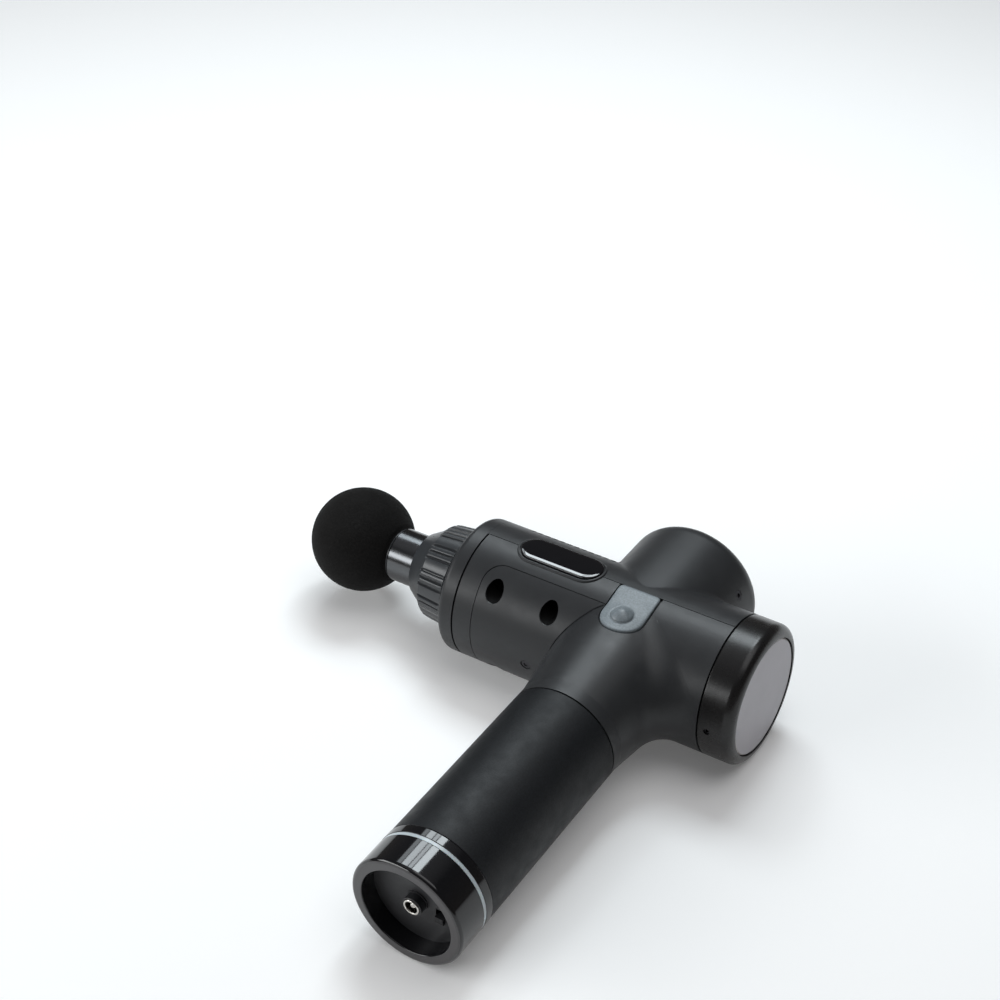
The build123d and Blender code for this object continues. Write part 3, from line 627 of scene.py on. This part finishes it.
FIT_HALF = 9.8
FIT_TOP = -0.4
FIT_LENGTH = 25.8
FIT_COLUMNS = 40
FIT_ROWS = 52
FIT_DEGREE = 6
FIT_LOWEST = 25
ABOVE_GUN = 60
TAB_MIDDLE_Y = 13


def skin_terms(x, y):
    """Terms of a polynomial in (x, y), scaled to about one over the tab."""
    u = x / 10
    v = (y + TAB_MIDDLE_Y) / TAB_MIDDLE_Y
    return [u ** a * v ** b for a in range(FIT_DEGREE + 1) for b in range(FIT_DEGREE + 1 - a)]


def skin_fit():
    """Polynomial of the CAD tab's outer face, height over the gun's middle plane by (x, y)."""
    tree = BVHTree.FromObject(nodes["thumb_tab"], bpy.context.evaluated_depsgraph_get())
    down = world_direction(0, 0, -1)
    rows = []
    heights = []
    for i in range(FIT_COLUMNS + 1):
        for j in range(FIT_ROWS + 1):
            x = -FIT_HALF + 2 * FIT_HALF * i / FIT_COLUMNS
            y = FIT_TOP - FIT_LENGTH * j / FIT_ROWS
            hit = tree.ray_cast(GUN @ Vector((x, y, ABOVE_GUN)), down)[0]
            if hit is None or (TO_GUN @ hit).z < FIT_LOWEST:
                continue
            rows.append(skin_terms(x, y))
            heights.append((TO_GUN @ hit).z)
    return np.linalg.lstsq(np.array(rows), np.array(heights), rcond=None)[0]


SKIN_FIT = skin_fit()


def dome(distance):
    """Rise of the thumb button's dome over the tab, with a shallow moat moulded round its foot."""
    foot = BUTTON_EDGE + BUTTON_SKIRT
    reach = min(distance / foot, 1.0)
    moat = MOAT_DEPTH * math.exp(-((distance - foot) / MOAT_WIDTH) ** 2)
    return BUTTON_RISE * (1 - reach ** 2) ** BUTTON_POWER - moat


def skin(x, y, rise):
    """Point of the tab's face, with the button's dome, at a rise over it."""
    away = math.hypot(x, y - BUTTON_Y)
    return Vector((x, y, float(np.dot(skin_terms(x, y), SKIN_FIT)) + rise + dome(away)))


def line(start, end):
    """Points between two ends, without them."""
    spread = (end[0] - start[0], end[1] - start[1])
    return [
        (start[0] + spread[0] * i / SIDE_STEPS, start[1] + spread[1] * i / SIDE_STEPS)
        for i in range(1, SIDE_STEPS)
    ]


def arc(centre, radius, start, turn, steps):
    """Points of an arc from one angle through a turn, with its ends."""
    angles = [start + turn * i / steps for i in range(steps + 1)]
    return [(centre[0] + radius * math.cos(a), centre[1] + radius * math.sin(a)) for a in angles]


def tab_loop(inset):
    """Loop at an inset from the tab's outline: straight at the seam, round at its lower end."""
    half = TAB_HALF - inset
    top = -inset
    bend = -(TAB_LENGTH - TAB_HALF)
    corner = max(TAB_CORNER - inset, TAB_CORNER_LEAST)
    left = -half + corner
    right = half - corner
    below = top - corner
    quarter = math.pi / 2
    loop = arc((0.0, bend), half, 0.0, -math.pi, BEND_STEPS)
    loop += line((-half, bend), (-half, below))
    loop += arc((left, below), corner, math.pi, -quarter, CORNER_STEPS)
    loop += line((left, top), (right, top))
    loop += arc((right, below), corner, quarter, -quarter, CORNER_STEPS)
    loop += line((half, below), (half, bend))
    return loop


def thumb_tab():
    """Soft tab with a rolled edge and a round hole for the button."""
    loops = [[skin(x, y, rise) for x, y in tab_loop(inset)] for inset, rise in TAB_SECTION]
    inner = tab_loop(TAB_ROLL)
    edge = []
    for x, y in inner:
        toward = Vector((x, y - BUTTON_Y)).normalized() * (BUTTON_EDGE + BUTTON_GAP)
        edge.append((toward.x, toward.y + BUTTON_Y))
    for i in range(1, TAB_RINGS + 1):
        t = i / TAB_RINGS
        loops.append([
            skin(a[0] + (b[0] - a[0]) * t, a[1] + (b[1] - a[1]) * t, TAB_RISE)
            for a, b in zip(inner, edge)
        ])
    loops.append([skin(x, y, BUTTON_HOLE_BOTTOM) for x, y in edge])
    tab = loop_piece("tab", loops, True, TAB, sharp=50)
    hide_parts("thumb_tab")


def thumb_button():
    """Domed button in a fine gap in the tab."""
    rings = [(BUTTON_EDGE * (1 - i / BUTTON_RINGS), TAB_RISE) for i in range(BUTTON_RINGS + 1)]
    loops = []
    for radius, rise in [(BUTTON_EDGE, TAB_SUNK)] + rings:
        loops.append([
            skin(radius * math.cos(angle), BUTTON_Y + radius * math.sin(angle), rise)
            for angle in turn_steps(BUTTON_TURNS)
        ])
    key = loop_piece("button_dome", loops, False, BUTTON, "button", 50)
    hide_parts("thumb_button")


thumb_tab()
thumb_button()

# ---------------------------------------------------------------- display end

DISC_R = 26.95
DISC_BACK = 59.4
DISC_FRONT = 61.2
DISC_TURNS = 240
BEVEL = 0.55
BEVEL_BACK = 60.6
BEVEL_FRONT = 61.1
FACE_INSET = 0.15
RIM_MARGIN = 0.05


def display_end():
    """The display's disc in the ring's mouth, with its bevelled rim painted bright as a painted
    highlight.
    """
    outline = rounded([
        (DISC_BACK, 0.0), (DISC_BACK, DISC_R), (BEVEL_BACK, DISC_R), (BEVEL_FRONT, DISC_R - BEVEL),
        (DISC_FRONT, DISC_R - BEVEL - FACE_INSET), (DISC_FRONT, 0.0),
    ], {2: 0.1, 3: 0.1}, 4)
    disc = lathe("disc", outline, "X", DISPLAY, DISC_TURNS)

    def on_rim(polygon):
        centre = TO_GUN @ polygon.center
        return math.hypot(centre.y, centre.z) > DISC_R - BEVEL - RIM_MARGIN

    # The rim's faces get the painted highlight.
    paint_faces(disc, RIM_HIGHLIGHT, on_rim)
    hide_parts("display_lens")


display_end()

# ---------------------------------------------------------------- handle and base

GRIP_R = 25.6
GRIP_TOP = -67.7
GRIP_END = -159.5
TUBE_R = 23.8
BAND_TOP = GRIP_END - 0.15
BAND_END = -164.0
LIGHT_END = -165.7
LIGHT_INSET = 0.15
LIGHT_CLEAR = 0.02
RECESS_R = 20.7
CAP_BORE_R = 22.0
FLOOR_Y = -173.2
HANDLE_TURNS = 240
FACE_LIMIT = 0.8


def sleeve(name, end, top, radius, rounds, steps, material):
    """Ring round the handle's tube, from its lower end to its top."""
    outline = rounded([(end, TUBE_R), (end, radius), (top, radius), (top, TUBE_R)], rounds, steps)
    return lathe(name, outline, "Y", material, HANDLE_TURNS)


def handle():
    """Grip sleeve, gloss band, light ring and base cap, each with its own rolled edges."""
    grip = sleeve("grip", GRIP_END, GRIP_TOP, GRIP_R, {1: 0.35, 2: 0.5}, 6, GRIP)
    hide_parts("grip_sleeve")
    band = sleeve("band", BAND_END, BAND_TOP, BASE_R, {1: 0.2, 2: 0.35}, 6, GLOSS)
    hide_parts("base_collar")
    light = sleeve(
        "light_band", LIGHT_END + LIGHT_CLEAR, BAND_END - LIGHT_CLEAR, BASE_R - LIGHT_INSET,
        {1: 0.12, 2: 0.12}, 4, LIGHT,
    )
    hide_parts("light_ring")
    outline = rounded([
        (LIGHT_END, CAP_BORE_R), (LIGHT_END, BASE_R), (BASE_END, BASE_R), (BASE_END, RECESS_R),
        (FLOOR_Y, RECESS_R), (FLOOR_Y, CAP_BORE_R),
    ], {1: 0.25, 2: BASE_ROUND, 3: 0.6}, 14)
    cap = lathe("cap", outline, "Y", GLOSS, HANDLE_TURNS)
    down = world_direction(0, -1, 0)
    paint_faces(cap, CAP_FACE, lambda polygon: polygon.normal.dot(down) > FACE_LIMIT)
    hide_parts("base_cap")


handle()

WELL_R = 4.25
WELL_Z = 22.2
WELL_XS = (-61.6, -33.3)
WELL_TURNS = 64
# Sheets of painted shade in the wells, from just under the barrel's surface down past the wells'
# floor.
SHADE_SHEET_MOUTH_R = BARREL_R - 0.5
SHADE_SHEET_OUTER_R = WELL_R - 0.03
SHADE_SHEET_INNER_R = WELL_R - 0.25
SHADE_SHEET_BOTTOM = -9.1
SHADE_SHEET_FLOOR = -9.5
MOUTH = None
SHADE_SHEET = [
    (SHADE_SHEET_OUTER_R, MOUTH), (SHADE_SHEET_OUTER_R, SHADE_SHEET_BOTTOM), (0.0, SHADE_SHEET_BOTTOM),
    (0.0, SHADE_SHEET_FLOOR), (SHADE_SHEET_INNER_R, SHADE_SHEET_FLOOR), (SHADE_SHEET_INNER_R, MOUTH),
]


def well_loop(x, middle_z, radius, floor_y):
    """Round loop in a well, at a floor's height or following the barrel just under its surface."""
    loop = []
    for angle in turn_steps(WELL_TURNS):
        z = middle_z + radius * math.cos(angle)
        y = -math.sqrt(SHADE_SHEET_MOUTH_R ** 2 - z ** 2) if floor_y is MOUTH else floor_y
        loop.append((x + radius * math.sin(angle), y, z))
    return loop


def paint_well_shade():
    """Matt black sheets of painted shade in the panel's screw wells, trimmed to just under the
    barrel's surface.
    """
    places = [(x, side) for x in WELL_XS for side in (1, -1)]
    for number, (x, side) in enumerate(places):
        loops = [well_loop(x, side * WELL_Z, radius, floor_y) for radius, floor_y in SHADE_SHEET]
        # Each well gets a near-black sheet of painted shade.
        loop_piece("well_shade_sheet_%d" % (number + 1), loops, True, WELL_SHADE)


paint_well_shade()

SOCKET_TIP = -177.8
SOCKET_SEAT = -171.0
SOCKET_R = 3.7
SOCKET_BORE_R = 2.75
PIN_TIP = SOCKET_TIP + 1
PIN_R = 1.25


def charging_socket():
    """Bright rolled ring and the round-nosed pin in it."""
    outline = rounded([
        (SOCKET_TIP, SOCKET_BORE_R), (SOCKET_TIP, SOCKET_R), (SOCKET_SEAT, SOCKET_R),
        (SOCKET_SEAT, SOCKET_BORE_R),
    ], {0: 0.3, 1: 0.35}, 5)
    ring = lathe("socket_ring", outline, "Y", NICKEL, 96)
    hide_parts("jack_ring")
    outline = rounded([
        (PIN_TIP, 0.0), (PIN_TIP, PIN_R), (SOCKET_SEAT, PIN_R), (SOCKET_SEAT, 0.0),
    ], {1: 0.6}, 8)
    pin = lathe("socket_pin", outline, "Y", NICKEL, 64)
    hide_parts("jack_pin")


charging_socket()

# ---------------------------------------------------------------- stage, lights and camera

FLOOR_HALF = 6.0
FLOOR_CORNERS = [
    (-FLOOR_HALF, -FLOOR_HALF, 0), (FLOOR_HALF, -FLOOR_HALF, 0),
    (FLOOR_HALF, FLOOR_HALF, 0), (-FLOOR_HALF, FLOOR_HALF, 0),
]
FLOOR_COLOR = (0.92, 0.92, 0.915)

LIT_POINT = Vector((0, 0, 0.03))
WINDOW_PLACE = Vector((-0.25, 0.58, 1.0))
WINDOW_TURN = math.radians(-25)
WINDOW_COLOR = (0.88, 0.96, 1.0)
WINDOW_PANES = [(0.44, 0.16, 0.6), (0.22, 0.22, 2.5), (0.02, 0.12, 1.2), (-0.19, 0.24, 3.8)]
PANE_LENGTH = 0.40

GROUND_COLOR = (0.10, 0.09, 0.08, 1)
SIDE_COLOR = (0.055, 0.056, 0.060, 1)
SIDE_END = 0.70
SKY_COLOR = (0.50, 0.50, 0.52, 1)

CAMERA_PLACE = (0.36361, -0.52470, 0.56782)
CAMERA_FORWARD = Vector((-0.44723, 0.69038, -0.56865))
CAMERA_LENS = 68.4
SENSOR_WIDTH = 36.0


def floor():
    mesh = bpy.data.meshes.new("floor")
    mesh.from_pydata(FLOOR_CORNERS, [], [(0, 1, 2, 3)])
    made = bpy.data.objects.new("floor", mesh)
    bpy.context.scene.collection.objects.link(made)
    material = shader(
        "floor_white", FLOOR_COLOR, 0.85,
        Specular_IOR_Level=0.1, Emission_Strength=0.10, Emission_Color=(1, 1, 1, 1),
    )
    mesh.materials.append(material)


def area_light(name, place, size, power, color=(1, 1, 1)):
    """Rectangular lamp that faces the gun."""
    data = bpy.data.lights.new(name, "AREA")
    data.shape = "RECTANGLE"
    data.size, data.size_y = size
    data.energy = power
    data.color = color
    made = bpy.data.objects.new(name, data)
    made.location = place
    made.rotation_euler = (LIT_POINT - Vector(place)).to_track_quat("-Z", "Y").to_euler()
    bpy.context.scene.collection.objects.link(made)
    return made


def window_light():
    """Window of four panes; each is (place across it, width, power)."""
    toward = (LIT_POINT - WINDOW_PLACE).to_track_quat("-Z", "Y")
    turned = toward @ Quaternion((0, 0, 1), WINDOW_TURN)
    for number, (across, width, power) in enumerate(WINDOW_PANES):
        place = WINDOW_PLACE + turned @ Vector((across, 0, 0))
        name = "window_%d" % (number + 1)
        pane = area_light(name, place, (width, PANE_LENGTH), power, WINDOW_COLOR)
        pane.rotation_euler = turned.to_euler()


def studio_world():
    """Dim surroundings, brighter overhead."""
    world = bpy.data.worlds.new("studio")
    world.use_nodes = True
    tree = world.node_tree
    place = tree.nodes.new("ShaderNodeTexCoord")
    split = tree.nodes.new("ShaderNodeSeparateXYZ")
    ramp = tree.nodes.new("ShaderNodeValToRGB")
    ground, sky = ramp.color_ramp.elements
    ground.color = GROUND_COLOR
    sky.color = SKY_COLOR
    side = ramp.color_ramp.elements.new(SIDE_END)
    side.color = SIDE_COLOR
    tree.links.new(place.outputs["Generated"], split.inputs["Vector"])
    tree.links.new(split.outputs["Z"], ramp.inputs["Fac"])
    tree.links.new(ramp.outputs["Color"], tree.nodes["Background"].inputs["Color"])
    bpy.context.scene.world = world


def camera():
    data = bpy.data.cameras.new("camera")
    data.sensor_width = SENSOR_WIDTH
    data.lens = CAMERA_LENS
    data.clip_start = 0.01
    made = bpy.data.objects.new("camera", data)
    made.location = CAMERA_PLACE
    made.rotation_euler = CAMERA_FORWARD.to_track_quat("-Z", "Y").to_euler()
    bpy.context.scene.collection.objects.link(made)
    bpy.context.scene.camera = made


floor()
window_light()
area_light("front_left", (-0.96, -0.96, 0.62), (1.5, 0.42), 13, (0.97, 0.99, 1.0))
area_light("top", (0.55, 0.1, 1.9), (1.4, 1.6), 9)
studio_world()
camera()
bpy.context.scene.view_settings.view_transform = "Standard"
